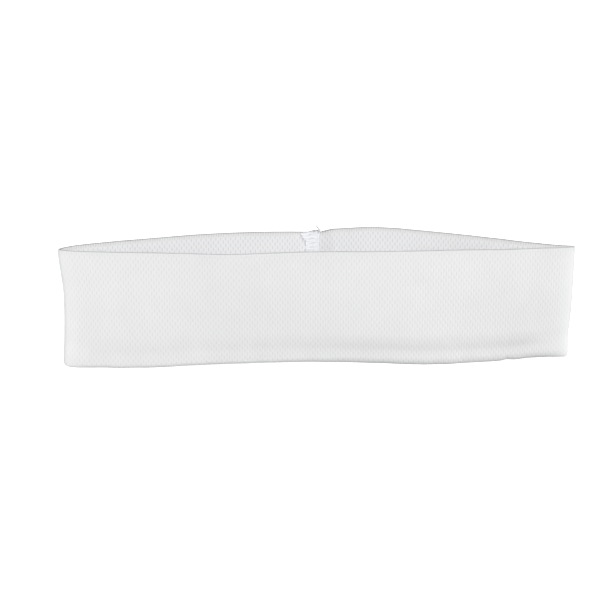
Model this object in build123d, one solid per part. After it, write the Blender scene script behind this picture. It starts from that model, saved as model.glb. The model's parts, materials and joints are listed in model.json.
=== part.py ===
"""Sports headband: one knitted mesh strip folded into a double-layer band, hemmed along its lower
edge and closed into a loop by an overlocked seam whose allowance lies as a flap on the inside.

Millimetres. +Z is up through the loop, +X runs along it and +Y is from the forehead to the back.
The origin is the centre of the loop's footprint, on the surface it stands on.
"""
from build123d import *

import os
from math import atan2, degrees

# ---- driving dimensions -------------------------------------------------------------------------
loop_width = 242.0        # end crease to end crease, outside
band_height = 56.0        # lower edge to the folded upper edge
front_bow = 8.5           # how far the front panel bows out from the line of the end creases
back_bow = 34.0           # the same for the back panel
crease_radius = 3.0       # of the middle of the wall, at each end crease

ply = 0.65                # thickness of one layer of mesh
wall_gap = 0.7            # between the two layers above the hem
thread = 0.25             # thickness that looper threads add to a face
needle = 0.3              # diameter of a needle thread

hem_allowance = 7.2       # height of the two turned-up edges inside the hem
hem_run_out = 3.0         # height over which the hem's thickness fades away
hem_needle_height = 1.3   # the lengthwise seam's needle line, just above the fold

seam_x = 1.5              # closing seam, a little right of the middle of the back
seam_slit = 0.5           # between the strip's two ends, where the seam's stitches pass
flap_length = 6.4         # the closing seam's allowance
flap_margin = 0.5         # the flap is this much shorter than the band at top and bottom
flap_gap = 0.3            # between the flap and the hem beside it
looper_start = 1.2        # from the flap's root to where the looper threads begin
long_tail = (-1.3, 3.1)   # how far a cut thread end leans along +X, and rises, from the flap's top
short_tail = (0.9, 1.7)

# ---- derived dimensions -------------------------------------------------------------------------
wall_half = ply + wall_gap / 2
turned_inner = needle / 2                     # the turned-up edges meet across the needle thread
turned_outer = turned_inner + ply
hem_half = turned_outer + thread + ply
crease_x = loop_width / 2 - hem_half - crease_radius
crease_y = (front_bow - back_bow) / 2         # centres the footprint on the origin
back_y = crease_y + back_bow                  # middle of the back wall at x = 0
flap_half = 2 * ply + thread                  # four layers, with looper threads on both faces
flap_y = back_y - hem_half - flap_gap - flap_half
flap_bottom = flap_margin
flap_top = band_height - flap_margin


def wall_arcs():
    """(centre, radius, start angle, swept angle) of the four tangent arcs of the wall's middle line."""
    span = crease_x**2 - crease_radius**2
    front_r = (span + front_bow**2) / (2 * (front_bow - crease_radius))
    back_r = (span + back_bow**2) / (2 * (back_bow - crease_radius))
    front_c = crease_y + front_r - front_bow
    back_c = crease_y - back_r + back_bow
    front_half = degrees(atan2(crease_x, front_r - front_bow))
    back_half = degrees(atan2(crease_x, back_r - back_bow))
    crease_turn = 180 - front_half - back_half
    return [
        ((0, front_c), front_r, -90 - front_half, 2 * front_half),
        ((crease_x, crease_y), crease_radius, front_half - 90, crease_turn),
        ((0, back_c), back_r, 90 - back_half, 2 * back_half),
        ((-crease_x, crease_y), crease_radius, 90 + back_half, crease_turn),
    ]


def around_loop(section):
    """Carries a section, x outwards from the wall's middle and y up, round the whole loop."""
    parts = []
    for (cx, cy), radius, start, turn in wall_arcs():
        swept = revolve(Plane.XZ * Pos(radius, 0) * section, Axis.Z, revolution_arc=turn)
        parts.append(Pos(cx, cy, 0) * Rot(0, 0, start) * swept)
    ring = parts[0]
    for part in parts[1:]:
        ring = ring + part
    return ring


def open_at_seam(ring):
    """Cuts a ring at the closing seam, where the strip's two ends meet."""
    cutter = Pos(seam_x, back_y, band_height / 2) * Box(seam_slit, 4 * hem_half, 2 * band_height)
    return ring - cutter


def block(x0, x1, y0, y1):
    """A rectangle between two corners."""
    return Pos((x0 + x1) / 2, (y0 + y1) / 2) * Rectangle(x1 - x0, y1 - y0)


def strip_section():
    """The folded strip: outer layer, fold over the top, inner layer, and both edges turned up."""
    run_out_top = hem_allowance + thread + hem_run_out
    run_out_start = hem_allowance + thread
    fold_centre = band_height - wall_half

    def outline(hem, wall, bottom):
        side = [(hem, bottom), (hem, run_out_start), (wall, run_out_top), (wall, fold_centre)]
        face = make_face(Polyline(*side, *[(-x, y) for x, y in reversed(side)], close=True))
        return face + Pos(0, fold_centre) * Circle(wall)

    outer = outline(hem_half, wall_half, 0)
    lower_corners = outer.vertices().group_by(Axis.Y)[0]
    outer = fillet(lower_corners, ply)
    hollow = outline(hem_half - ply, wall_half - ply, ply)
    turned_up = block(-turned_outer, turned_outer, 0, hem_allowance)
    slit = block(-turned_inner, turned_inner, -1, hem_allowance + 1)
    return outer - hollow + turned_up - slit


def looper_section(side, foot, edge, start):
    """One looper thread's layer: up a face of the turned edges, then over to the middle."""
    face_layer = block(foot, foot + thread, start, edge + thread)
    over_edge = block(0, foot + thread, edge, edge + thread)
    section = face_layer + over_edge
    return section if side > 0 else mirror(section, Plane.YZ)


def mesh_strip():
    return open_at_seam(around_loop(strip_section()))


def hem_needle_thread():
    return open_at_seam(around_loop(Pos(0, hem_needle_height) * Circle(needle / 2)))


def hem_looper_thread(side):
    start = hem_needle_height + needle
    return open_at_seam(around_loop(looper_section(side, turned_outer, hem_allowance, start)))


def upright(plan, bottom=flap_bottom, top=flap_top):
    """Extrudes a plan drawn about the flap's root, with x along the flap, away from its root."""
    solid = extrude(plan, amount=top - bottom)
    return Pos(seam_x, flap_y, bottom) * Rot(0, 0, 180) * solid


def strip_end_plies(side):
    """Two layers of one end of the strip, turned in at the seam; side +1 is nearer the middle."""
    whole = block(0, flap_length, -2 * ply, 2 * ply) + Circle(2 * ply)
    far = 4 * flap_length
    return upright(whole & block(-far, far, 0, side * 4 * ply))


def flap_looper_thread(side):
    plan = block(looper_start, flap_length + thread, 2 * ply, 2 * ply + thread)
    plan = plan + block(flap_length, flap_length + thread, 0, 2 * ply + thread)
    return upright(plan if side > 0 else mirror(plan, Plane.XZ))


def flap_needle_thread():
    """The second row of stitches, on the flap's face between its root and the looper threads."""
    centre = (looper_start - needle, 2 * ply + needle / 2)
    return upright(Pos(*centre) * Circle(needle / 2))


def seam_line_needle_thread():
    """The row of stitches that joins the strip's two ends, in the slit between them."""
    rod = Cylinder(needle / 2, flap_top - flap_bottom)
    return Pos(seam_x, back_y, (flap_top + flap_bottom) / 2) * rod


def thread_tails():
    """Two cut ends of thread that stand out of the flap's upper end."""
    above_flap = Pos(0, 0, flap_top + band_height) * Box(loop_width, loop_width, 2 * band_height)
    tails = []
    for lean, rise in (long_tail, short_tail):
        foot = Vector(seam_x - looper_start, flap_y - lean / 2, flap_top)
        tip = foot + Vector(lean, 0, rise)
        tail = sweep(Plane(foot, z_dir=tip - foot) * Circle(needle / 2), Line(foot, tip))
        tails.append(tail & above_flap)
    return Compound(tails)


NODES = {
    "mesh_strip": mesh_strip,
    "hem_needle_thread": hem_needle_thread,
    "hem_upper_looper_thread": lambda: hem_looper_thread(1),
    "hem_lower_looper_thread": lambda: hem_looper_thread(-1),
    "seam_line_needle_thread": seam_line_needle_thread,
    "left_end_plies": lambda: strip_end_plies(-1),
    "right_end_plies": lambda: strip_end_plies(1),
    "flap_needle_thread": flap_needle_thread,
    "flap_upper_looper_thread": lambda: flap_looper_thread(1),
    "flap_lower_looper_thread": lambda: flap_looper_thread(-1),
    "thread_tails": thread_tails,
}

os.makedirs("parts", exist_ok=True)
for name, make in NODES.items():
    export_step(make(), f"parts/{name}.step")
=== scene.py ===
import json
import math

import bpy
import numpy as np
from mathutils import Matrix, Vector


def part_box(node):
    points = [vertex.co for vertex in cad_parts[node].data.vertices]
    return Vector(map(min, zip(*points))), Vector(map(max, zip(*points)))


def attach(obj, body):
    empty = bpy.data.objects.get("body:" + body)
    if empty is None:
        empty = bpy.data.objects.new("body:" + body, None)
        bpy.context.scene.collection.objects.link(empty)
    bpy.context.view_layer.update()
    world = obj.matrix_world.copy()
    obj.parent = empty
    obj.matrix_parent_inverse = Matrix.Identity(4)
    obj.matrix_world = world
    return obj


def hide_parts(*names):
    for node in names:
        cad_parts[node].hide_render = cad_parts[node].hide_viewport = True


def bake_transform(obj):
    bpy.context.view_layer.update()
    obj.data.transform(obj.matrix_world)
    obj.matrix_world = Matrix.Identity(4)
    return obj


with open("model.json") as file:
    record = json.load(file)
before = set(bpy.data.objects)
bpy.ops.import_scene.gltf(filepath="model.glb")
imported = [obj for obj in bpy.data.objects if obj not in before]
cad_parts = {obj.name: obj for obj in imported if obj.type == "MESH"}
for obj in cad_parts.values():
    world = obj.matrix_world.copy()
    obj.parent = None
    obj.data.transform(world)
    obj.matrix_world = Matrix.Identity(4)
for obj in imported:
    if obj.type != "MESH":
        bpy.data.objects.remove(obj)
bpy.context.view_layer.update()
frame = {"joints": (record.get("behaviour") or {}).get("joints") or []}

# Lengths are in millimetres until a mesh or light is made, and u, v, n and h are used throughout:
# u runs along the strip from the closing seam, v runs across it, n is out of the wall, h is up it.
MM = 0.001

# ---- places, from the frame ---------------------------------------------------------------------
strip_low, strip_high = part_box("mesh_strip")
HALF_LENGTH = (strip_high.x - strip_low.x) / 2 / MM
HEIGHT = strip_high.z / MM
seam_low, seam_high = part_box("seam_line_needle_thread")
SEAM_X = (seam_low.x + seam_high.x) / 2 / MM
SEAM_Y = (seam_low.y + seam_high.y) / 2 / MM
flap_joint = next(j for j in frame["joints"] if j["name"] == "seam_allowance_fold")
FLAP_Y = flap_joint["pos_m"][1] / MM

# ---- sizes of the fabric and its sewing -----------------------------------------------------------
WALL = 1.0               # half the thickness of the double layer
HEM = 1.4                # the same at the hem, where the edges are turned in
TURNED = 0.2             # from the middle of the hem to each turned-in edge
TURNED_TOP = 0.3         # the same at the cut, where the edges stand a little apart
TURN_UP = 7.0            # height of the turned-in edges
HEM_FADE = (4.5, 13.0)   # heights over which the hem's thickness fades away
CREST_POWER = 0.6        # the fold's crest: 1 would be round, and less is squarer
HOLE_ACROSS = 2.36       # pitch of the mesh holes along the strip
HOLE_DOWN = 3.3          # and across it
HOLE_DEPTH = 0.16
DIMPLE_HALF = (0.55, 1.15)      # half the size of a hole's dimple, along and across the strip
DIMPLE_POWER = 0.6              # below 1 its bottom is flatter
SHADE_HALF = (0.30, 1.10)       # half the size of a hole's shade
WALE = 0.59              # pitch of the fine ribs of the knit along the strip
COURSE = 0.41            # and of its rows of loops across it
COLUMNS_PER_HOLE = 4
ROWS_PER_HOLE = 6
THREAD = 0.16            # radius of a sewing thread
THREAD_SIDES = 6
STITCH = 2.1             # length of one overlock stitch

# ---- the closing seam on the wall -----------------------------------------------------------------
VALLEY = 1.45            # depth of the valley that the seam pulls into the outside
VALLEY_REACH = 2.4
RIDGE_RIGHT = 2.6        # how far the strip's turned-in right end reaches inside, to the flap's root
RIDGE_LEFT = 1.2         # and its left end, behind the flap
RIDGE_RUN_RIGHT = 8.0    # the length over which each ridge runs out along the wall
RIDGE_RUN_LEFT = 1.9

# ---- the seam's flap ------------------------------------------------------------------------------
FLAP_ROOT = 0.3          # how far its folded root stands past the seam line
FLAP_LENGTH = 6.6        # from the seam line to its overlocked edge
FLAP_HALF = 0.8          # half its thickness, without the threads
FLAP_BACK = 1.5          # how far its middle lies behind the axis that it folds about
FLAP_LOW = 0.7
FLAP_HIGH = HEIGHT + 1.2
FLAP_TILT = math.radians(9)
FLAP_FLARE = 3.1         # how much further it reaches at the top, like a dog-ear
FLARE_HEIGHT = 6.5
FLARE_POWER = 1.5        # more than 1 keeps most of it near the top
FLAP_DROOP = 1.1         # how far the dog-ear's corner hangs down
FLAP_ROUNDING = 0.6      # of its upper and lower ends
FLAP_AROUND = 12         # length of cloth round its section
FLAP_RINGS = 90

# ---- how unevenly the cloth stands; a pair is where a feature starts and where it is complete -----
RIGHT_PART = (-40, 50)           # along the front, whose right part rolls and curls more
PANEL_END = (HALF_LENGTH - 25, HALF_LENGTH - 5)
ROLL = 1.55                      # how far the front's hem rolls in
ROLL_LEFT_SHARE = 0.3            # of that at its left part
ROLL_HEIGHTS = (4, 16)
LEDGE = 0.2                      # how far the front steps in below the top of its turned-in edges
LEDGE_HEIGHTS = (TURN_UP, TURN_UP + 5)
LEAN = 1.0                       # how far the front's lower right part leans in
LEAN_PLACES = (25, 60)
LEAN_HEIGHTS = (8, 38)
CURL = 1.4                       # height over which the lower edge curls in
CURL_FRONT = 0.8                 # and how much more that is on the front
CURL_RIGHT = 2.4                 # and at its right part
BELLY = 0.9                      # how far the front bulges at half its height
LEFT_FALL = 0.6                  # how far the front falls back before its left end
LEFT_FALL_PLACE = -96            # where, at its upper edge
LEFT_FALL_SLANT = 22             # and how much further right at its lower edge
LEFT_BULGE = 0.5                 # of the front's lower edge
LEFT_BULGE_PLACE = -48
HUMP = 0.8                       # how far the back's upper edge rises right of the seam
HUMP_START = (SEAM_X, 9)
HUMP_END = (25, 60)
CORNER_LIFT = 0.5                # of the lower left corner off the surface
PUCKER = 0.4                     # how far a small fold lifts the front's lower edge near the right end
PUCKER_PLACE = 90
DROOP = 0.2                      # how far the edge goes down again just past it
DROOP_PLACE = 95
LEFT_WAIST = 2.2                 # how far the left crease comes in below its upper corner
LEFT_FOOT = 1.0                  # and how far it goes out again at its foot
RIGHT_TAPER = 1.3                # how far the right crease comes in, evenly down its height
RIGHT_FOOT = 0.5                 # and how much more at its foot
CREASE_ENDS = (HALF_LENGTH - 30, HALF_LENGTH - 3)

# ---- small waves: size, millimetres for each radian, and offset -----------------------------------
HEM_RIPPLES = ((0.10, 3.1, 0.0), (0.07, 1.9, 1.3), (0.05, 4.7, 0.4))
HEM_RIPPLE_HEIGHT = 12
FOLD_RIPPLES = ((0.05, 4.2, 0.5), (0.05, 2.7, 0.0))
FOLD_RIPPLE_HEIGHT = 7
FLAP_RIPPLES = ((0.22, 5.3, 0.0), (0.12, 2.1, 1.0))

# ---- light and camera -----------------------------------------------------------------------------
ROOM = 9000              # half the floor's side, and the height of the walls round it
FLOOR_GLOW = 0.75
WALL_GLOW = 1.0
SKY_COLOUR = (0.93, 0.96, 1.0, 1)
SKY_STRENGTH = 0.22
SUN_SPREAD = math.radians(14)
# Name, azimuth (0 is the front and 90 the right), elevation, strength and colour.
SUNS = [
    ("front_light", 0, 23, 0.94, (1.0, 1.0, 1.0)),
    ("right_light", 96, -1, 0.56, (0.97, 0.98, 1.0)),
    ("left_light", -96, -1, 0.34, (1.0, 1.0, 1.0)),
    ("back_light", 180, 6, 0.65, (1.0, 1.0, 1.0)),
]
CAMERA_RISE = math.radians(18)
# The camera's places are in metres.
CAMERA_DISTANCE = 0.88
CAMERA_AIM = Vector((-0.0078, SEAM_Y * MM - 0.0169, 0.0272))
CAMERA_LENS = 112.2
CAMERA_SENSOR = 36

# ---- the loop as it stands ------------------------------------------------------------------------
# One row per station, from the closing seam round by the right-hand crease:
# place along the band's half length, depth of the upper edge from the seam, how much further out
# towards the front the lower edge is, and how far the lower edge lifts off the surface.
SEAM_SHARE = SEAM_X / HALF_LENGTH
STATIONS = [
    (SEAM_SHARE, 0.0, 0.0, 0.0),
    (0.075, 1.7, 0.0, 0.0),
    (0.19, 4.2, 0.0, 0.0),
    (0.33, 3.0, 0.5, 0.0),
    (0.50, -2.6, 1.0, 0.3),
    (0.68, -11.4, 1.0, 0.8),
    (0.83, -19.3, 0.6, 1.4),
    (0.935, -23.6, 0.2, 2.2),
    (0.985, -24.7, 0.0, 1.9),
    (0.97, -26.0, -0.1, 2.2),
    (0.935, -27.0, -0.2, 2.1),
    (0.83, -28.2, -0.1, 0.95),
    (0.72, -30.2, -0.4, 0.0),
    (0.60, -30.6, 1.9, 0.0),
    (0.43, -32.0, 2.9, 0.0),
    (0.22, -33.6, -0.4, 0.7),
    (0.0, -33.8, -1.0, 1.4),
    (-0.14, -35.4, -2.2, 1.5),
    (-0.34, -38.3, -3.6, 1.55),
    (-0.47, -37.0, -1.7, 1.1),
    (-0.65, -35.3, 1.3, 0.1),
    (-0.83, -34.4, 2.0, 0.0),
    (-0.94, -32.9, 2.4, 0.1),
    (-0.98, -30.6, 1.9, 0.0),
    (-0.955, -26.4, 0.0, 0.2),
    (-0.85, -20.3, 0.0, 0.2),
    (-0.67, -13.2, 0.0, 0.0),
    (-0.44, -4.9, 0.0, 0.0),
    (-0.25, -1.3, 0.0, 0.0),
    (-0.12, -0.5, 0.0, 0.0),
    (-0.045, -0.9, 0.0, 0.0),
    (SEAM_SHARE, 0.0, 0.0, 0.0),
]


# ---- curves and profiles ----------------------------------------------------------------------------
def spline(points, per_span):
    """A centripetal Catmull-Rom curve through rows of numbers; the first two columns set its pace."""
    p = np.array(points, float)
    p = np.vstack([2 * p[0] - p[1], p, 2 * p[-1] - p[-2]])
    curve = []
    for a, b, c, d in zip(p[:-3], p[1:-2], p[2:-1], p[3:]):
        knots = [0.0]
        for start, end in ((a, b), (b, c), (c, d)):
            knots.append(knots[-1] + max(np.linalg.norm(end[:2] - start[:2]), 1e-6) ** 0.5)
        t0, t1, t2, t3 = knots
        t = np.linspace(t1, t2, per_span, endpoint=False)[:, None]
        a1 = (t1 - t) / (t1 - t0) * a + (t - t0) / (t1 - t0) * b
        a2 = (t2 - t) / (t2 - t1) * b + (t - t1) / (t2 - t1) * c
        a3 = (t3 - t) / (t3 - t2) * c + (t - t2) / (t3 - t2) * d
        b1 = (t2 - t) / (t2 - t0) * a1 + (t - t0) / (t2 - t0) * a2
        b2 = (t3 - t) / (t3 - t1) * a2 + (t - t1) / (t3 - t1) * a3
        curve.append((t2 - t) / (t2 - t1) * b1 + (t - t1) / (t2 - t1) * b2)
    return np.vstack(curve + [p[-2:-1]])


def smooth(values, reach):
    """Rows averaged with their neighbours under a bell of the given reach, in rows; ends stay."""
    offsets = np.arange(-3 * reach, 3 * reach + 1)
    weights = np.exp(-0.5 * (offsets / reach) ** 2)
    weights /= weights.sum()
    before = 2 * values[0] - values[3 * reach:0:-1]
    after = 2 * values[-1] - values[-2:-2 - 3 * reach:-1]
    padded = np.vstack([before, values, after])
    columns = [np.convolve(padded[:, i], weights, mode="valid") for i in range(values.shape[1])]
    return np.stack(columns, axis=1)


def resample(curve, count):
    """The curve at evenly spaced lengths along its first two columns, and its whole length."""
    steps = np.linalg.norm(np.diff(curve[:, :2], axis=0), axis=1)
    along = np.concatenate([[0], np.cumsum(steps)])
    places = np.linspace(0, along[-1], count)
    columns = [np.interp(places, along, curve[:, i]) for i in range(curve.shape[1])]
    return np.stack(columns, axis=1), along[-1]


def step(value, low, high):
    """0 below low, 1 above high and smooth between."""
    t = np.clip((value - low) / (high - low), 0, 1)
    return t * t * (3 - 2 * t)


def bell(value, centre, reach):
    """1 at the centre, fading away on both sides of it."""
    return np.exp(-(((value - centre) / reach) ** 2))


def ripples(length, waves):
    """Small waves along a length, added up."""
    return sum(size * np.sin(length / radian + offset) for size, radian, offset in waves)


# ---- the shape of the folded strip ------------------------------------------------------------------
def loop_columns():
    """The strip's columns round the loop: length along it, upper edge, lean, lift and normal."""
    fine = 2000
    rows = [(share * HALF_LENGTH, SEAM_Y + y, lean, lift) for share, y, lean, lift in STATIONS]
    curve, length = resample(spline(rows, per_span=60), fine)
    curve, length = resample(smooth(curve, reach=4), fine)
    holes = round(length / HOLE_ACROSS)
    curve, length = resample(curve, holes * COLUMNS_PER_HOLE + 1)
    tangent = np.gradient(curve[:, :2], axis=0)
    tangent /= np.linalg.norm(tangent, axis=1)[:, None]
    normal = np.stack([-tangent[:, 1], tangent[:, 0]], axis=1)
    u = np.linspace(0, holes * HOLE_ACROSS, len(curve))
    from_seam = np.minimum(u, u[-1] - u)
    # Beside the seam the wall faces straight back, so its two ends meet.
    normal[:, 0] *= step(from_seam, 0, 6)
    normal /= np.linalg.norm(normal, axis=1)[:, None]
    return {
        "u": u,
        "from_seam": from_seam,
        "x": curve[:, 0],
        "y": curve[:, 1],
        "lean": curve[:, 2],
        "lift": curve[:, 3],
        "out_x": normal[:, 0],
        "out_y": normal[:, 1],
    }


LOOP = loop_columns()
AROUND = LOOP["u"][-1]


def columns_at(u):
    """The loop's columns at any lengths u."""
    return {name: np.interp(u, LOOP["u"], values) for name, values in LOOP.items()}


def section():
    """The folded strip's section from one turned-in edge over the top to the other: n, h and v."""
    row = HOLE_DOWN / ROWS_PER_HOLE
    fold = (HEM - TURNED) / 2
    edge = [(TURNED_TOP, TURN_UP), (TURNED_TOP, TURN_UP / 2), (TURNED, fold + 0.4)]
    turns = np.linspace(math.pi, 2 * math.pi, 6, endpoint=False)
    foot = [((TURNED + HEM) / 2 + fold * math.cos(t), fold + fold * math.sin(t)) for t in turns]
    rows = round((HEIGHT - WALL - fold) / row)
    heights = np.linspace(fold, HEIGHT - WALL, rows)
    thickness = WALL + (HEM - WALL) * (1 - step(heights, *HEM_FADE))
    face = list(zip(thickness, heights))
    turns = np.linspace(0, math.pi, 11)[1:-1]
    across = np.sign(np.cos(turns)) * np.abs(np.cos(turns)) ** CREST_POWER
    crest = list(zip(WALL * across, HEIGHT - WALL + WALL * np.sin(turns) ** CREST_POWER))
    outer = edge + foot + face
    inner = [(-n, h) for n, h in reversed(outer)]
    points = np.array(outer + crest + inner)
    along = np.concatenate([[0], np.cumsum(np.linalg.norm(np.diff(points, axis=0), axis=1))])
    first_face = len(edge) + len(foot)
    split = len(outer) + len(crest) + 2
    return points[:, 0], points[:, 1], along - along[first_face], split


N, H, V, SPLIT = section()
FOLD = V[np.argmax(H)]


def front_share(columns):
    """1 where a column is on the front panel, 0 on the back, smooth across the creases."""
    return step(-columns["out_y"], -0.5, 0.5)


def hem_roll(h, x, front):
    """How far the front's lower part goes in: its hem's roll, the ledge over that and the lean."""
    panel = front * (1 - step(np.abs(x), *PANEL_END))
    share = panel * (ROLL_LEFT_SHARE + (1 - ROLL_LEFT_SHARE) * step(x, *RIGHT_PART))
    roll = ROLL * share * (1 - step(h, *ROLL_HEIGHTS))
    ledge = LEDGE * (panel + share) * (1 - step(h, *LEDGE_HEIGHTS))
    lean = LEAN * panel * step(x, *LEAN_PLACES) * (1 - step(h, *LEAN_HEIGHTS))
    return roll + ledge + lean


def edge_curl(h, x, front):
    """How far the lower edge curls in, less at the end creases."""
    depth_share = 0.6
    curl = CURL + front * (CURL_FRONT + CURL_RIGHT * step(x, *RIGHT_PART))
    under = np.clip(1 - h / curl, 0, 0.97)
    free = 1 - 0.85 * bell(np.abs(x), HALF_LENGTH, reach=8)
    return depth_share * curl * (1 - np.sqrt(1 - under**2)) * free


def wave(x, level, size, radian, offset, slant, middle, spread):
    """A shallow slanting wave along a panel, strongest at one level of it."""
    return size * np.sin(x / radian + slant * level + offset) * bell(level, middle, spread)


def undulation(h, columns):
    """How far the wall stands out of its even shape, for rows of height h: one value per column."""
    x, u = columns["x"], columns["u"]
    front = front_share(columns)
    back = 1 - front
    level = h / HEIGHT
    belly = BELLY * np.sin(math.pi * level) * (1 - bell(np.abs(x), HALF_LENGTH, reach=12))
    fall_line = LEFT_FALL_PLACE + LEFT_FALL_SLANT * (1 - level)
    left_fall = LEFT_FALL * (1 - step(x - fall_line, -9, 9))
    left_bulge = LEFT_BULGE * bell(x - 10 * level, LEFT_BULGE_PLACE, reach=16) * (1 - level)
    front_wave = wave(x, level, size=0.35, radian=19, offset=0, slant=2.1, middle=0.45, spread=0.4)
    back_wave = wave(x, level, size=0.30, radian=23, offset=1, slant=-1.6, middle=0.5, spread=0.5)
    out = front * (belly - left_fall + left_bulge + front_wave) + back * back_wave
    out -= hem_roll(h, x, front) + edge_curl(h, x, front)
    out += ripples(u, HEM_RIPPLES) * np.clip(1 - h / HEM_RIPPLE_HEIGHT, 0, 1)
    out += ripples(u, FOLD_RIPPLES) * np.clip(1 - (HEIGHT - h) / FOLD_RIPPLE_HEIGHT, 0, 1)
    return out


def seam_pull(n, columns):
    """How far the wall is drawn in by the closing seam: a valley outside and a ridge inside."""
    from_seam = columns["from_seam"]
    right_end = columns["u"] < AROUND / 2
    valley = VALLEY * np.clip(1 - from_seam / VALLEY_REACH, 0, 1) ** 2
    ridge_top = np.where(right_end, RIDGE_RIGHT, RIDGE_LEFT)
    ridge_run = np.where(right_end, RIDGE_RUN_RIGHT, RIDGE_RUN_LEFT)
    ridge = (ridge_top - np.abs(n)) * (1 - step(from_seam, -1.0, ridge_run))
    return np.where(n > 0, valley, ridge)


def crease_shift(x, level):
    """How far the end creases move along +X below their upper corners, both of them inwards."""
    down = 1 - level
    left = LEFT_WAIST * step(down, 0.0, 0.42) - LEFT_FOOT * step(down, 0.5, 1.0)
    right = RIGHT_TAPER * down + RIGHT_FOOT * step(down, 0.55, 0.85)
    return left * step(-x, *CREASE_ENDS) - right * step(x, *CREASE_ENDS)


def raised(level, columns):
    """How far the wall is raised: at its lower edge, and at the back's upper edge beside the seam."""
    x, front = columns["x"], front_share(columns)
    corner = CORNER_LIFT * bell(x, -HALF_LENGTH, reach=3.0)
    pucker = PUCKER * bell(x, PUCKER_PLACE, reach=1.8) - DROOP * bell(x, DROOP_PLACE, reach=3.0)
    foot = columns["lift"] + corner + front * pucker
    hump = HUMP * step(x, *HUMP_START) * (1 - step(x, *HUMP_END)) * (1 - front)
    return foot * (1 - level) ** 2 + hump * level


def wall_points(n, h, columns):
    """Points of the wall, one per column, n out of its middle at height h."""
    level = np.clip(h / HEIGHT, 0, 1)
    out = n + undulation(h, columns) - seam_pull(n, columns)
    x = columns["x"] + columns["out_x"] * out + crease_shift(columns["x"], level)
    y = columns["y"] - columns["lean"] * (1 - level) + columns["out_y"] * out
    return np.stack([x, y, h + raised(level, columns)], axis=1)


def dimple(v, u):
    """Depth of the mesh's holes at lengths v and u, as a share: a staggered lattice of slots."""
    half_across, half_down = DIMPLE_HALF
    share = np.zeros(np.broadcast(v, u).shape)
    for shift in (0.0, 0.5):
        across = HOLE_ACROSS * ((u / HOLE_ACROSS + shift + 0.5) % 1 - 0.5)
        down = HOLE_DOWN * ((v / HOLE_DOWN + shift + 0.5) % 1 - 0.5)
        far = (across / half_across) ** 2 + (down / half_down) ** 2
        share = np.maximum(share, np.clip(1 - far, 0, 1) ** DIMPLE_POWER)
    return share


def strip_points():
    """Every point of the folded strip, rows across it and columns along it.

    The holes are pressed into its two faces only, and fade away at the end creases.
    """
    depth = HOLE_DEPTH * (1 - bell(np.abs(LOOP["x"]), HALF_LENGTH, reach=7.0))
    rows = []
    for n, h, v in zip(N, H, V):
        on_face = 0.3 < h < HEIGHT - 1.5 and abs(n) > 0.9 * WALL
        pressed = depth * dimple(v, LOOP["u"]) * on_face
        rows.append(wall_points(n - math.copysign(1, n) * pressed, h, LOOP))
    return np.array(rows)


# ---- meshes -----------------------------------------------------------------------------------------
def new_mesh(name, points, faces, uv=None):
    """A mesh object from points in millimetres; uv holds u and v of each point."""
    mesh = bpy.data.meshes.new(name)
    mesh.from_pydata(np.asarray(points) * MM, [], faces)
    mesh.polygons.foreach_set("use_smooth", [True] * len(mesh.polygons))
    if uv is not None:
        layer = mesh.uv_layers.new(name="cloth")
        corners = np.zeros(len(mesh.loops), np.int32)
        mesh.loops.foreach_get("vertex_index", corners)
        layer.data.foreach_set("uv", (np.asarray(uv)[corners] * MM).astype(np.float32).ravel())
    mesh.update()
    piece = bpy.data.objects.new(name, mesh)
    bpy.context.scene.collection.objects.link(piece)
    return piece


def grid_faces(rows, columns):
    """Quads of a grid of points, numbered row by row."""
    corner = np.arange((rows - 1) * columns).reshape(rows - 1, columns)[:, :-1].ravel()
    return np.stack([corner, corner + 1, corner + columns + 1, corner + columns], axis=1).tolist()


def ring_faces(rings, count, first):
    """Quads between closed rings of count points each, the first ring's points numbered from first."""
    faces = []
    for corner in range(first, first + (rings - 1) * count, count):
        for k in range(count):
            nearby = (k + 1) % count
            faces.append((corner + k, corner + nearby, corner + count + nearby, corner + count + k))
    return faces


# ---- materials --------------------------------------------------------------------------------------
def node(tree, kind, inputs=(), **settings):
    """A new shader node; inputs are (socket, value or output to link)."""
    made = tree.nodes.new(kind)
    for name, value in settings.items():
        setattr(made, name, value)
    for socket, value in inputs:
        if isinstance(value, bpy.types.NodeSocket):
            tree.links.new(value, made.inputs[socket])
        else:
            made.inputs[socket].default_value = value
    return made


def sums(tree, operation, *values):
    """One math node's output."""
    return node(tree, "ShaderNodeMath", list(enumerate(values)), operation=operation).outputs[0]


def ramp(tree, value, low, high, at_low=0.0, at_high=1.0, kind="LINEAR"):
    """at_low where the value is low, at_high where it is high, and a ramp between."""
    inputs = [("Value", value), (1, low), (2, high), (3, at_low), (4, at_high)]
    return node(tree, "ShaderNodeMapRange", inputs, interpolation_type=kind).outputs[0]


def noise(tree, place, scale, detail):
    """A noise texture's value."""
    inputs = [("Vector", place), ("Scale", scale), ("Detail", detail)]
    return node(tree, "ShaderNodeTexNoise", inputs).outputs[0]


def tint(tree, shader, white, shade):
    """Gives the shader its colour: white times the shade."""
    tinted = node(tree, "ShaderNodeVectorMath", [(0, white)], operation="SCALE")
    tree.links.new(shade, tinted.inputs["Scale"])
    tree.links.new(tinted.outputs[0], shader.inputs["Base Color"])


def relief(tree, shader, height, strength, depth):
    """Gives the shader its bumps, of a depth in millimetres."""
    inputs = [("Strength", strength), ("Distance", depth * MM), ("Height", height)]
    bump = node(tree, "ShaderNodeBump", inputs)
    tree.links.new(bump.outputs[0], shader.inputs["Normal"])


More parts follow.
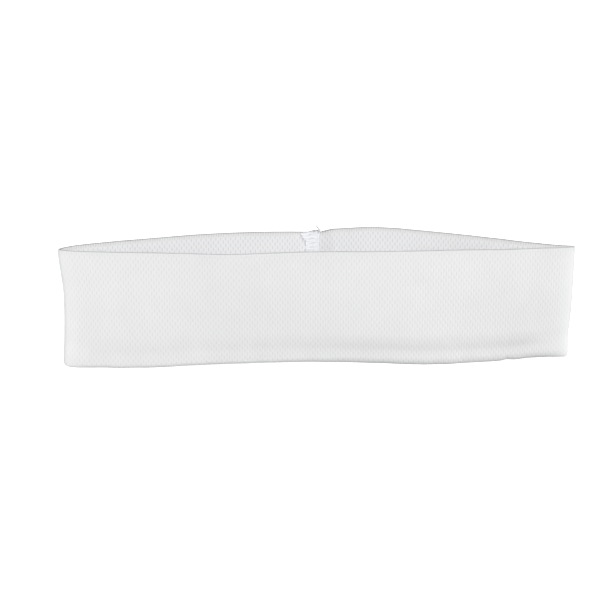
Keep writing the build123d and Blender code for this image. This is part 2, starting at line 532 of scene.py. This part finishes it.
def new_material(name, roughness, sheen):
    """A dull material that may have a soft sheen, with its node tree and its shader."""
    material = bpy.data.materials.new(name)
    material.use_nodes = True
    tree = material.node_tree
    shader = tree.nodes["Principled BSDF"]
    shader.inputs["Roughness"].default_value = roughness
    shader.inputs["Sheen Weight"].default_value = sheen
    shader.inputs["Sheen Roughness"].default_value = 0.5
    shader.inputs["Specular IOR Level"].default_value = 0.25
    return material, tree, shader


def hole_mask(tree, u, v):
    """1 in the middle of a mesh hole and 0 outside it, from lengths u and v in metres."""
    found = None
    for shift in (0.0, 0.5):
        places = []
        for length, pitch, half in zip((u, v), (HOLE_ACROSS, HOLE_DOWN), SHADE_HALF):
            turns = sums(tree, "MULTIPLY_ADD", length, 1 / (pitch * MM), shift + 0.5)
            centred = sums(tree, "SUBTRACT", sums(tree, "FRACT", turns), 0.5)
            places.append(sums(tree, "MULTIPLY", centred, pitch / half))
        far = sums(tree, "ADD", *(sums(tree, "MULTIPLY", place, place) for place in places))
        share = ramp(tree, far, 1.35, 0.15, kind="SMOOTHSTEP")
        found = share if found is None else sums(tree, "MAXIMUM", found, share)
    return found


def past_crease(tree, u):
    """Length along the strip from the nearer end crease: below 0 on the front, above it on the back."""
    right = LOOP["u"][np.argmax(LOOP["x"])]
    left = LOOP["u"][np.argmin(LOOP["x"])]
    from_middle = sums(tree, "ABSOLUTE", sums(tree, "SUBTRACT", u, (left + right) / 2 * MM))
    return sums(tree, "SUBTRACT", from_middle, (left - right) / 2 * MM)


def painted_shade_at_fold(tree, u, from_crease, from_fold, front, back, reach):
    """Painted shade towards the strip's fold, where its crest turns away from the light, with a beat of
    the holes that the fold runs through.
    """
    beat_strength = 0.45
    depth = ramp(tree, from_crease, -4 * MM, 4 * MM, front, back)
    near = ramp(tree, from_fold, 0.0, reach * MM, 1.0, 0.0)
    beat = sums(tree, "SINE", sums(tree, "MULTIPLY", u, 4 * math.pi / (HOLE_ACROSS * MM)))
    beat = sums(tree, "MULTIPLY_ADD", beat, beat_strength, 1.0)
    return sums(tree, "MULTIPLY", sums(tree, "MULTIPLY", depth, beat), sums(tree, "MULTIPLY", near, near))


def knit_loops(tree, u, v):
    """The fine ribs of the knit times its rows of loops."""
    wales = sums(tree, "SINE", sums(tree, "MULTIPLY", u, 2 * math.pi / (WALE * MM)))
    courses = sums(tree, "SINE", sums(tree, "MULTIPLY", v, 2 * math.pi / (COURSE * MM)))
    return sums(tree, "MULTIPLY", wales, courses)


def mesh_fabric(name, white, slots, front_painted_shade_at_fold, back_painted_shade_at_fold, painted_shade_reach):
    """White warp knit: closed slots in a staggered lattice, fine wales and courses, soft sheen.

    slots is how much painted shade darkens the holes, and the next two how much painted shade
    darkens the strip's fold on the front and on the back, fading over the last.
    """
    loop_shade, fuzz_shade, mottle_shade = 0.012, 0.05, 0.05
    material, tree, shader = new_material(name, roughness=0.85, sheen=0.03)
    uv = node(tree, "ShaderNodeUVMap", uv_map="cloth").outputs[0]
    parts = node(tree, "ShaderNodeSeparateXYZ", [(0, uv)])
    u, v = parts.outputs[0], parts.outputs[1]
    from_fold = sums(tree, "ABSOLUTE", sums(tree, "SUBTRACT", v, FOLD * MM))
    from_crease = past_crease(tree, u)
    # Painted shade along the strip's fold, where its crest turns away from the light.
    fold = painted_shade_at_fold(tree, u, from_crease, from_fold, front_painted_shade_at_fold, back_painted_shade_at_fold, painted_shade_reach)
    # The holes' colour gets painted shade, weaker near the end creases and the fold; the same mask also
    # sets the bump.
    past_creases = ramp(tree, sums(tree, "ABSOLUTE", from_crease), 2 * MM, 8 * MM, at_low=0.35)
    past_fold = ramp(tree, from_fold, 0.8 * MM, 2.5 * MM)
    holes = sums(tree, "MULTIPLY", hole_mask(tree, u, v), sums(tree, "MULTIPLY", past_fold, past_creases))
    loops = knit_loops(tree, u, v)
    fuzz = noise(tree, uv, scale=2600.0, detail=3.0)
    mottle = noise(tree, uv, scale=90.0, detail=2.0)
    shade = sums(tree, "MULTIPLY_ADD", holes, -slots, 1.0)
    shade = sums(tree, "MULTIPLY_ADD", loops, loop_shade, shade)
    shade = sums(tree, "MULTIPLY_ADD", fuzz, fuzz_shade, shade)
    shade = sums(tree, "MULTIPLY_ADD", mottle, mottle_shade, shade)
    shade = sums(tree, "SUBTRACT", sums(tree, "SUBTRACT", shade, fold), (fuzz_shade + mottle_shade) / 2)
    tint(tree, shader, white, shade)
    height = sums(tree, "MULTIPLY_ADD", holes, -1.0, sums(tree, "MULTIPLY", loops, 0.25))
    height = sums(tree, "MULTIPLY_ADD", fuzz, 0.5, height)
    relief(tree, shader, height, strength=0.5, depth=0.12)
    return material


def thread_yarn(name, white):
    """White textured polyester thread with a fine twist."""
    material, tree, shader = new_material(name, roughness=0.6, sheen=0.3)
    place = node(tree, "ShaderNodeTexCoord").outputs["Object"]
    twist = noise(tree, place, scale=4000.0, detail=2.0)
    tint(tree, shader, white, ramp(tree, twist, 0.0, 1.0, 0.93, 1.03))
    relief(tree, shader, twist, strength=0.4, depth=0.05)
    return material


# The strip's outside: painted shade in its holes and along its fold.
OUTER_FABRIC = mesh_fabric(
    "white_mesh_knit", (0.767, 0.765, 0.760),
    slots=0.09, front_painted_shade_at_fold=0.12, back_painted_shade_at_fold=0.42, painted_shade_reach=3.4,
)
# The inside of the loop: a slightly darker, bluer copy of the same fabric with darker holes, painted
# shade for the loop's shaded inside.
SHADED_INNER_FABRIC = mesh_fabric(
    "white_mesh_knit_inside_painted_shade", (0.759, 0.759, 0.764),
    slots=0.165, front_painted_shade_at_fold=0.12, back_painted_shade_at_fold=0.42, painted_shade_reach=3.4,
)
# The flap: a lighter, bluer copy of the strip's fabric, painted light, with strong painted shade at its
# upper end and faint painted shade in its holes.
PAINTED_FLAP_FABRIC = mesh_fabric(
    "white_mesh_knit_four_ply_painted_light_and_shade", (0.793, 0.797, 0.815),
    slots=0.03, front_painted_shade_at_fold=0.60, back_painted_shade_at_fold=0.60, painted_shade_reach=1.5,
)
YARN = thread_yarn("white_sewing_thread", (0.79, 0.797, 0.815))
# The cut tails: a grey copy of the white thread, painted shade for the thin, shadowed tails.
SHADED_LOOSE_YARN = thread_yarn("white_sewing_thread_loose_painted_shade", (0.53, 0.53, 0.54))


# ---- threads ----------------------------------------------------------------------------------------
def tube(path, radius):
    """Points and faces of a round thread along a path, with flat ends."""
    ahead = np.gradient(path, axis=0)
    ahead /= np.linalg.norm(ahead, axis=1)[:, None]
    side = np.cross(ahead[0], (0.31, 0.52, 0.80))
    turns = np.linspace(0, 2 * math.pi, THREAD_SIDES, endpoint=False)
    points = [path[0]]
    for place, direction in zip(path, ahead):
        side = side - direction * side.dot(direction)
        side /= np.linalg.norm(side)
        other = np.cross(direction, side)
        for turn in turns:
            points.append(place + radius * (math.cos(turn) * side + math.sin(turn) * other))
    points.append(path[-1])
    last = len(points) - 1
    faces = ring_faces(len(path), THREAD_SIDES, 1)
    for k in range(THREAD_SIDES):
        nearby = (k + 1) % THREAD_SIDES
        faces.append((0, 1 + nearby, 1 + k))
        faces.append((last, last - THREAD_SIDES + k, last - THREAD_SIDES + nearby))
    return points, faces


def thread_piece(name, paths, radius, replaced, yarn=YARN):
    """One mesh of several threads of one yarn."""
    points, faces = [], []
    for path in paths:
        made, around = tube(path, radius)
        faces += [tuple(len(points) + corner for corner in face) for face in around]
        points += made
    piece = new_mesh(name, points, faces)
    piece.data.materials.append(yarn)
    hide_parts(replaced)
    return piece


# ---- the folded strip and its hem -------------------------------------------------------------------
def bend_with_loop(piece):
    """Bakes the piece's placement into its mesh; it gets no body."""
    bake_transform(piece)


def band_layer(name, points, first, last, fabric):
    """One layer of the band: a mesh of the strip's rows from first to last."""
    rows = points[first:last]
    u, v = np.meshgrid(LOOP["u"], V[first:last])
    uv = np.stack([u.ravel(), v.ravel()], axis=1)
    layer = new_mesh(name, rows.reshape(-1, 3), grid_faces(*rows.shape[:2]), uv)
    layer.data.materials.append(fabric)
    bend_with_loop(layer)
    return layer


def hem_needle_stitches():
    """Running stitches between the two turned-in edges, seen as a ladder in the fold beneath."""
    sway, middle, rise = 0.16, 0.95, 0.2
    u = np.arange(2.5, AROUND - 2.5, 0.35)
    turn = 2 * math.pi * u / STITCH
    path = wall_points(sway * np.sin(turn), middle + rise * np.cos(turn), columns_at(u))
    return thread_piece("hem_needle_stitches", [path], THREAD * 0.7, "hem_needle_thread")


def hem_looper(name, side, replaced):
    """Overlock stitches up one face of the turned-in edges and over their cut edge, inside the hem."""
    face = side * (TURNED_TOP + THREAD)
    stitch = [
        (0.0, face, 1.8),
        (0.4, face, TURN_UP - 0.3),
        (0.5, 0.0, TURN_UP + 0.3),
        (0.6, face, TURN_UP - 0.3),
    ]
    starts = np.arange(3, AROUND - 4, STITCH)
    u, n, h = np.array([(start + share * STITCH, n, h) for start in starts for share, n, h in stitch]).T
    return thread_piece(name, [wall_points(n, h, columns_at(u))], THREAD * 0.8, replaced)


# ---- the closing seam -------------------------------------------------------------------------------
def flap_reach(z):
    """How far the flap reaches from its root: it flares like a dog-ear at the top and waves below."""
    flare = FLAP_FLARE * np.clip(1 - (FLAP_HIGH - z) / FLARE_HEIGHT, 0, 1) ** FLARE_POWER
    return FLAP_LENGTH + flare + ripples(z, FLAP_RIPPLES)


def flap_points(a, b, z):
    """Points of the flap: a from its root, b from its middle towards the middle of the loop."""
    a, b, z = (np.asarray(value, float) for value in (a, b, z))
    swell = 0.12 * np.sin(z / 6.1) * np.clip(a / FLAP_LENGTH, 0, 1)
    x = SEAM_X - a * math.cos(FLAP_TILT) - b * math.sin(FLAP_TILT)
    y = FLAP_Y + FLAP_BACK - a * math.sin(FLAP_TILT) - (b + swell) * math.cos(FLAP_TILT)
    droop = FLAP_DROOP * np.clip((a - 3.0) / 5.0, 0, 1) * np.clip((z - HEIGHT + 6) / 7, 0, 1)
    return np.stack([x, y, z - droop], axis=-1)


def flap_ring(z, side):
    """One end's section through the flap at height z: its root, face, overlocked edge and middle."""
    turns = np.linspace(0, math.pi / 2, 7)
    root = [(-FLAP_ROOT * math.cos(t), math.sin(t)) for t in turns]
    face = [(share, 1.0) for share in np.linspace(0.06, 0.94, 14)]
    edge = [(0.98, 0.9), (1.0, 0.6), (0.995, 0.3), (0.98, 0.03)]
    middle = [(share, 0.0) for share in np.linspace(0.9, 0.1, 8)]
    reach = flap_reach(z)
    a = np.array([along for along, _ in root] + [share * reach for share, _ in face + edge + middle])
    b = FLAP_HALF * np.array([out for _, out in root + face + edge + middle])
    to_end = min(z - FLAP_LOW, FLAP_HIGH - z)
    full = math.sqrt(1 - (1 - min(to_end / FLAP_ROUNDING, 1)) ** 2)
    b = FLAP_HALF / 2 + (b - FLAP_HALF / 2) * (0.15 + 0.85 * full)
    return flap_points(a, side * b, np.full(len(a), z))


def flap_plies(name, side, replaced):
    """Two layers of one end of the strip, turned in at the seam and pressed to the left."""
    rings = [flap_ring(z, side) for z in np.linspace(FLAP_LOW, FLAP_HIGH, FLAP_RINGS)]
    count = len(rings[0])
    points = np.concatenate(rings)
    lower_end = list(range(count))[::-1]
    upper_end = list(range(len(points) - count, len(points)))
    faces = ring_faces(FLAP_RINGS, count, 0) + [lower_end, upper_end]
    if side < 0:
        faces = [face[::-1] for face in faces]
    u = np.tile(np.linspace(0, FLAP_AROUND, count), FLAP_RINGS)
    # Its upper end lies at the fold's v, so the fabric's painted fold shade falls there.
    uv = np.stack([u, points[:, 2] + FOLD - FLAP_HIGH], axis=1)
    piece = new_mesh(name, points, faces, uv)
    piece.data.materials.append(PAINTED_FLAP_FABRIC)
    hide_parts(replaced)
    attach(piece, "seam_flap")
    return piece


def flap_looper(name, side, replaced):
    """Overlock stitches across one face of the flap, round its cut edge and back."""
    over = FLAP_HALF + THREAD * 0.35
    path = []
    for z in np.arange(FLAP_LOW + 0.6, FLAP_HIGH - 2.2, STITCH):
        reach = flap_reach(z + STITCH / 2)
        path += [
            (1.2, over, z),
            (0.5 * reach, over + 0.08, z + 0.3),
            (reach - 0.35, over, z + 0.75),
            (reach + 0.12, 0.6, z + 0.95),
            (reach + 0.12, 0.05, z + 1.05),
            (reach + 0.12, 0.6, z + 1.15),
            (reach - 0.35, over, z + 1.35),
            (0.5 * reach, over + 0.08, z + 1.8),
        ]
    a, b, z = np.array(path).T
    return thread_piece(name, [spline(flap_points(a, side * b, z), 3)], THREAD * 1.2, replaced)


def flap_needle_stitches():
    """A row of short stitches beside the flap's root."""
    z = np.arange(FLAP_LOW + 0.4, FLAP_HIGH - 0.8, 0.3)
    b = FLAP_HALF + 0.02 + 0.12 * np.abs(np.sin(math.pi * z / STITCH))
    path = flap_points(np.full(len(z), 1.0), b, z)
    return thread_piece("flap_needle_stitches", [path], THREAD, "flap_needle_thread")


def seam_line_stitches():
    """The needle thread between the strip's two ends, a ladder in the valley behind the band."""
    sway, sunk, rise = 0.3, 0.55, 0.15
    z = np.arange(1.5, HEIGHT - 1.0, 0.35)
    turn = 2 * math.pi * z / STITCH
    x = SEAM_X + sway * np.sin(turn)
    y = SEAM_Y - sunk + rise * np.cos(turn)
    path = np.stack([x, y, z], axis=1)
    return thread_piece("seam_line_stitches", [path], THREAD, "seam_line_needle_thread")


def twisted(route):
    """Two strands twisted about a route."""
    strands, turns, apart = 2, 2.5, 0.1
    route = spline(route, 12)
    ahead = np.gradient(route, axis=0)
    ahead /= np.linalg.norm(ahead, axis=1)[:, None]
    side = np.cross(ahead, (0, 1, 0.2))
    side /= np.linalg.norm(side, axis=1)[:, None]
    other = np.cross(ahead, side)
    turn = np.linspace(0, 2 * math.pi * turns, len(route))[:, None]
    wound = []
    for strand in range(strands):
        angle = turn + 2 * math.pi * strand / strands
        wound.append(route + apart * (np.cos(angle) * side + np.sin(angle) * other))
    return wound


def cut_tails():
    """Two cut thread ends: one stands over the flap's top, the other crosses its face there."""
    over = FLAP_HALF + 0.2
    long_tail = [
        (0.5, over, FLAP_HIGH - 1.2),
        (0.2, over, FLAP_HIGH - 0.3),
        (0.3, 0.8, FLAP_HIGH + 0.4),
        (0.8, 0.6, FLAP_HIGH + 1.4),
        (1.7, 0.7, FLAP_HIGH + 2.5),
    ]
    short_tail = [
        (0.7, over, FLAP_HIGH - 1.3),
        (0.4, over + 0.1, FLAP_HIGH - 0.7),
        (0.0, over + 0.2, FLAP_HIGH - 0.1),
        (-0.5, over, FLAP_HIGH + 0.6),
    ]
    strands = []
    for tail in (long_tail, short_tail):
        strands += twisted(flap_points(*np.array(tail).T))
    return thread_piece("cut_thread_tails", strands, 1.4 * THREAD, "thread_tails", SHADED_LOOSE_YARN)


# ---- everything in place ----------------------------------------------------------------------------
def assemble():
    """Makes every piece, and gives the closing seam's pieces their bodies."""
    points = strip_points()
    outer = band_layer("outer_layer", points, 0, SPLIT + 1, OUTER_FABRIC)
    inner = band_layer("inner_layer", points, SPLIT, len(points), SHADED_INNER_FABRIC)
    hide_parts("mesh_strip")
    hem = [
        hem_needle_stitches(),
        hem_looper("hem_upper_looper", 1, "hem_upper_looper_thread"),
        hem_looper("hem_lower_looper", -1, "hem_lower_looper_thread"),
    ]
    for piece in hem:
        bend_with_loop(piece)
    line = seam_line_stitches()
    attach(line, "seam_line")
    near = flap_plies("flap_near_plies", 1, "right_end_plies")
    far = flap_plies("flap_far_plies", -1, "left_end_plies")
    threads = [
        flap_looper("flap_upper_looper", 1, "flap_upper_looper_thread"),
        flap_looper("flap_lower_looper", -1, "flap_lower_looper_thread"),
        flap_needle_stitches(),
        cut_tails(),
    ]
    for piece in threads:
        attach(piece, "seam_flap")


# ---- floor, light and camera ------------------------------------------------------------------------
def surroundings(name, corners, faces, grey, glow):
    """A plain pale surface that glows, and neither lights the band nor shades it."""
    surface = new_mesh(name, corners, faces)
    material, _, shader = new_material(name, roughness=1.0, sheen=0.0)
    shader.inputs["Base Color"].default_value = (grey, grey, grey, 1)
    shader.inputs["Specular IOR Level"].default_value = 0.0
    shader.inputs["Emission Color"].default_value = (1, 1, 1, 1)
    shader.inputs["Emission Strength"].default_value = glow
    surface.data.materials.append(material)
    surface.visible_diffuse = False
    surface.visible_shadow = False


def floor_and_backdrop():
    """A wide floor, and plain white walls round it far off."""
    ring = [(-ROOM, -ROOM), (ROOM, -ROOM), (ROOM, ROOM), (-ROOM, ROOM)]
    low = [(x, y, 0) for x, y in ring]
    high = [(x, y, ROOM) for x, y in ring]
    surroundings("floor", low, [(0, 1, 2, 3)], 0.97, FLOOR_GLOW)
    surroundings("backdrop", low + high, ring_faces(2, 4, 0), 0.0, WALL_GLOW)


def soft_sun(name, azimuth, elevation, strength, colour):
    """A soft distant light that comes from a direction."""
    light = bpy.data.lights.new(name, "SUN")
    light.energy = strength * math.pi
    light.color = colour
    light.angle = SUN_SPREAD
    lamp = bpy.data.objects.new(name, light)
    a, e = math.radians(azimuth), math.radians(elevation)
    source = Vector((math.sin(a) * math.cos(e), -math.cos(a) * math.cos(e), math.sin(e)))
    lamp.rotation_mode = "QUATERNION"
    lamp.rotation_quaternion = (-source).to_track_quat("-Z", "Y")
    bpy.context.scene.collection.objects.link(lamp)


def studio_light():
    """A pale sky and four soft suns."""
    world = bpy.data.worlds.new("studio")
    bpy.context.scene.world = world
    world.use_nodes = True
    background = world.node_tree.nodes["Background"]
    background.inputs["Color"].default_value = SKY_COLOUR
    background.inputs["Strength"].default_value = SKY_STRENGTH
    for sun in SUNS:
        soft_sun(*sun)


def camera():
    """A long lens in front of the band, looking a little down."""
    data = bpy.data.cameras.new("camera")
    data.sensor_width = CAMERA_SENSOR
    data.lens = CAMERA_LENS
    eye = bpy.data.objects.new("camera", data)
    back = Vector((0, -math.cos(CAMERA_RISE), math.sin(CAMERA_RISE)))
    eye.location = CAMERA_AIM + back * CAMERA_DISTANCE
    eye.rotation_mode = "QUATERNION"
    eye.rotation_quaternion = (-back).to_track_quat("-Z", "Y")
    bpy.context.scene.collection.objects.link(eye)
    bpy.context.scene.camera = eye


assemble()
floor_and_backdrop()
studio_light()
camera()
bpy.context.scene.view_settings.view_transform = "Standard"
